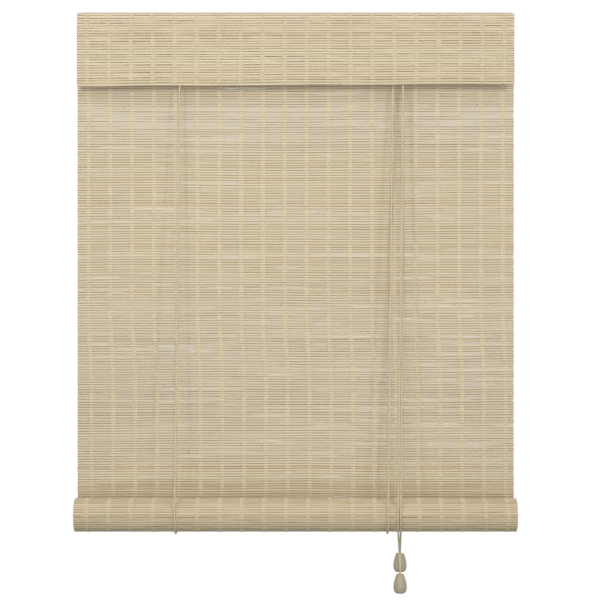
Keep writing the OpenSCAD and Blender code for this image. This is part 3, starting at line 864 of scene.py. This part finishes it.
def spiralLayout():
    # slats along the spiral, from its outer end at the rear, down and round to the core
    axis = next(j for j in frame["joints"] if j["name"] == "roll_turn")["pos_m"]
    low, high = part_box("hanging_mat")
    thick = (high.y - low.y) / 2
    pitch = roll["turnPitch"] * mm
    outer = (low.y + high.y) / 2 - axis[1]
    rodLow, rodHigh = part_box("bottom_rod")
    core = (rodHigh.z - rodLow.z) / 2 + roll["coreGap"] * mm + thick
    length = math.pi * (outer**2 - core**2) / pitch
    steps = slatSteps(length, roll["spread"])
    left = length - np.cumsum(steps) + steps / 2
    radius = np.sqrt(core**2 + pitch * left / math.pi)
    angle = 2 * math.pi * (radius - outer) / pitch
    out = np.stack([np.cos(angle), np.sin(angle)], 1)
    return {
        "middle": np.array(axis[1:]) + radius[:, None] * out,
        "out": out,
        "down": np.stack([out[:, 1], -out[:, 0]], 1),
        "step": steps,
        "thick": thick,
        "halfWidth": high.x,
        "darker": np.full(len(steps), roll["darker"]),
        "index": np.arange(len(steps)),
        "turn": -angle / (2 * math.pi),
    }


def makeRoll():
    layout = spiralLayout()
    shown = layout["turn"] < roll["yarnTurns"]
    outer, inner = part(layout, shown), part(layout, ~shown)
    slats = makeSlats("rollSlats", [(outer, roll["rings"]), (inner, roll["innerRings"])], roll, noWave)
    rows = warpRows + hangingMat["drift"][0] * mm / 2
    yarn = makeYarn("rollYarn", outer, rows, noWave, noDrift)
    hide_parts("rolled_mat")
    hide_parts("rolled_threads")
    for piece in (slats, yarn):
        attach(piece, "roll")


makeRoll()
print("roll made")


# rail, rod, metal and plastic parts keep their solids
solidLook = {
    "rail": {"pale": (222, 194, 152), "dark": (190, 152, 104), "along": 2, "across": 90},
    "rod": {"pale": (214, 184, 138), "dark": (184, 146, 98), "along": 3, "across": 220},
    "acorn": {"colour": (171, 158, 135), "roughness": 0.42},
    "wheel": {"colour": (228, 224, 212), "roughness": 0.38},
    "zinc": (205, 206, 208),
}


def makeWoodMaterial(name, pale, dark, along, across):
    material, tree, shader = newMaterial(name)
    rings = useGroup(tree, fibreGrain, Along=along, Across=across, Contrast=0.12)
    pores = useGroup(tree, fibreGrain, Along=20, Across=1800, Contrast=0.10)
    patches = useGroup(tree, slowPatches, Scale=12, Amount=0.06)
    colour = mixColour(tree, rings["Height"], rgb(*pale), rgb(*dark))
    shade = product(tree, rings["Shade"], pores["Shade"], patches["Shade"])
    feed(tree, shaded(tree, colour, shade), shader.inputs["Base Color"])
    roughened(tree, shader, pores["Height"], least=0.4, swing=0.3)
    bumped(tree, shader, pores["Height"], strength=0.3, distance=0.0002)
    return material


def makeSteelMaterial():
    material, tree, shader = newMaterial("zincPlate")
    brushed = useGroup(tree, fibreGrain, Along=300, Across=4000, Contrast=0.06)
    patches = useGroup(tree, slowPatches, Scale=180, Amount=0.10)
    shade = product(tree, brushed["Shade"], patches["Shade"])
    feed(tree, shaded(tree, rgb(*solidLook["zinc"]), shade), shader.inputs["Base Color"])
    roughened(tree, shader, brushed["Height"], least=0.2, swing=0.3)
    shader.inputs["Metallic"].default_value = 1.0
    bumped(tree, shader, brushed["Height"], strength=0.1, distance=0.0001)
    return material


def makePlasticMaterial(name, colour, roughness):
    material, tree, shader = newMaterial(name)
    cloud = useGroup(tree, slowPatches, Scale=140, Amount=0.07)
    speckle = useGroup(tree, fibreGrain, Along=1500, Across=1500, Contrast=0.05)
    shade = product(tree, cloud["Shade"], speckle["Shade"])
    feed(tree, shaded(tree, rgb(*colour), shade), shader.inputs["Base Color"])
    roughened(tree, shader, speckle["Height"], least=roughness - 0.1, swing=0.2)
    bumped(tree, shader, speckle["Height"], strength=0.08, distance=0.0002)
    return material


def makeKnotMaterial():
    # the knots have no line to wind round, so their plies are grain
    material, tree, shader = newMaterial("cordKnot")
    plies = useGroup(tree, fibreGrain, Along=700, Across=1400, Contrast=0.2)
    patches = useGroup(tree, slowPatches, **cordLook["patches"])
    shade = product(tree, plies["Shade"], patches["Shade"])
    feed(tree, shaded(tree, rgb(*cordLook["colour"]), shade), shader.inputs["Base Color"])
    shader.inputs["Roughness"].default_value = cordLook["roughness"]
    bumped(tree, shader, plies["Height"], strength=0.8, distance=0.0006)
    return material


def dressSolids():
    steel = makeSteelMaterial()
    acorn = makePlasticMaterial("acornPlastic", **solidLook["acorn"])
    wheel = makePlasticMaterial("wheelPlastic", **solidLook["wheel"])
    knot = makeKnotMaterial()
    finishes = {
        "head_rail": makeWoodMaterial("planedPine", **solidLook["rail"]),
        "bottom_rod": makeWoodMaterial("turnedDowel", **solidLook["rod"]),
        "upper_acorn": acorn,
        "lower_acorn": acorn,
        "left_pulley_wheel": wheel,
        "lock_wheel_front": wheel,
        "lock_wheel_rear": wheel,
        "anchor_knots": knot,
        "acorn_knots": knot,
    }
    for name in ("mat_staples", "anchor_eyes", "left_pulley_bracket", "left_pulley_axle", "lock_case",
                 "lock_axle", "lock_roller", "pulley_screws"):
        finishes[name] = steel
    for name, material in finishes.items():
        for place in frame["nodes"][name].material_slots:
            place.material = material


dressSolids()
print("solids dressed")


# light and floor
studio = {
    "aim": (0, 0, -0.35),
    "key": {"side": 36, "height": 26, "distance": 1.69, "size": (0.12, 0.12), "power": 5.4},
    "fill": {"side": -31, "height": 24, "distance": 0.985, "size": (0.06, 0.06), "power": 1.5},
    "front": {"side": 0, "height": 2, "distance": 1.82, "size": (3.2, 5), "power": 11},
    "level": {"side": 0, "height": -3, "distance": 2.1, "size": (0.5, 0.3), "power": 10.1},
    "rear": {"side": 160, "height": 12, "distance": 2.6, "size": (1.5, 1), "power": 30},
    "ambient": (0.3, 0.5),     # from below and from above
    "ambientFade": (-0.7, -0.1),  # heights on a round sky, between which it goes from one to the other
    "floor": -1.96,            # just below the acorns when the blind is drawn up, m
    "floorHalf": 2.5,          # half its width, m
    "floorColour": (238, 237, 234),
    "floorBounce": (128, 125, 119),  # its colour for the light that it throws back up at the blind
    "floorGlow": 0.3,          # what the camera sees on top of the light that falls on it
}


def addLamp(name, lamp):
    side, height = math.radians(lamp["side"]), math.radians(lamp["height"])
    level = math.cos(height)
    away = np.array((math.sin(side) * level, -math.cos(side) * level, math.sin(height)))
    data = bpy.data.lights.new(name, "AREA")
    data.shape = "ELLIPSE"
    data.size, data.size_y = lamp["size"]
    data.energy = lamp["power"]
    light = bpy.data.objects.new(name, data)
    bpy.context.collection.objects.link(light)
    light.location = np.array(studio["aim"]) + lamp["distance"] * away
    light.rotation_euler = (math.radians(90) - height, 0, side)


def seenDirectly(tree):
    # by the camera, in a reflection or through glass
    rays = addNode(tree, "LightPath").outputs
    seen = math2(tree, "MAXIMUM", rays["Is Camera Ray"], rays["Is Glossy Ray"])
    return math2(tree, "MAXIMUM", seen, rays["Is Transmission Ray"])


def makeWorld():
    world = bpy.data.worlds.new("paleStudio")
    bpy.context.scene.world = world
    world.use_nodes = True
    tree = world.node_tree
    ambient = tree.nodes["Background"]
    ambient.inputs["Color"].default_value = (1, 1, 1, 1)
    height = addNode(tree, "SeparateXYZ")
    tree.links.new(addNode(tree, "TexCoord").outputs["Generated"], height.inputs[0])
    fade = addNode(tree, "MapRange", interpolation_type="SMOOTHSTEP")
    limits = studio["ambientFade"] + studio["ambient"]
    for label, value in zip(("From Min", "From Max", "To Min", "To Max"), limits):
        fade.inputs[label].default_value = value
    tree.links.new(height.outputs["Z"], fade.inputs["Value"])
    tree.links.new(fade.outputs["Result"], ambient.inputs["Strength"])
    backdrop = addNode(tree, "Background")
    backdrop.inputs["Color"].default_value = (1, 1, 1, 1)
    mix = addNode(tree, "MixShader")
    tree.links.new(seenDirectly(tree), mix.inputs[0])
    tree.links.new(ambient.outputs[0], mix.inputs[1])
    tree.links.new(backdrop.outputs[0], mix.inputs[2])
    tree.links.new(mix.outputs[0], tree.nodes["World Output"].inputs[0])


def makeFloor():
    mesh = bpy.data.meshes.new("floor")
    half, z = studio["floorHalf"], studio["floor"]
    corners = [(-half, -half, z), (half, -half, z), (half, half, z), (-half, half, z)]
    mesh.from_pydata(corners, [], [(0, 1, 2, 3)])
    floor = bpy.data.objects.new("floor", mesh)
    bpy.context.collection.objects.link(floor)
    material, tree, shader = newMaterial("paleFloor")
    patches = useGroup(tree, slowPatches, Scale=2, Amount=0.02)
    bounced = addNode(tree, "LightPath").outputs["Is Diffuse Ray"]
    colour = mixColour(tree, bounced, rgb(*studio["floorColour"]), rgb(*studio["floorBounce"]))
    feed(tree, shaded(tree, colour, patches["Shade"]), shader.inputs["Base Color"])
    shader.inputs["Roughness"].default_value = 0.9
    glow = math2(tree, "MULTIPLY", seenDirectly(tree), studio["floorGlow"])
    feed(tree, glow, shader.inputs["Emission Strength"])
    shader.inputs["Emission Color"].default_value = (1, 1, 1, 1)
    mesh.materials.append(material)


for name in ("key", "fill", "front", "level", "rear"):
    addLamp(name + "Lamp", studio[name])
makeWorld()
makeFloor()
bpy.context.scene.view_settings.view_transform = "Standard"
print("light and floor set")
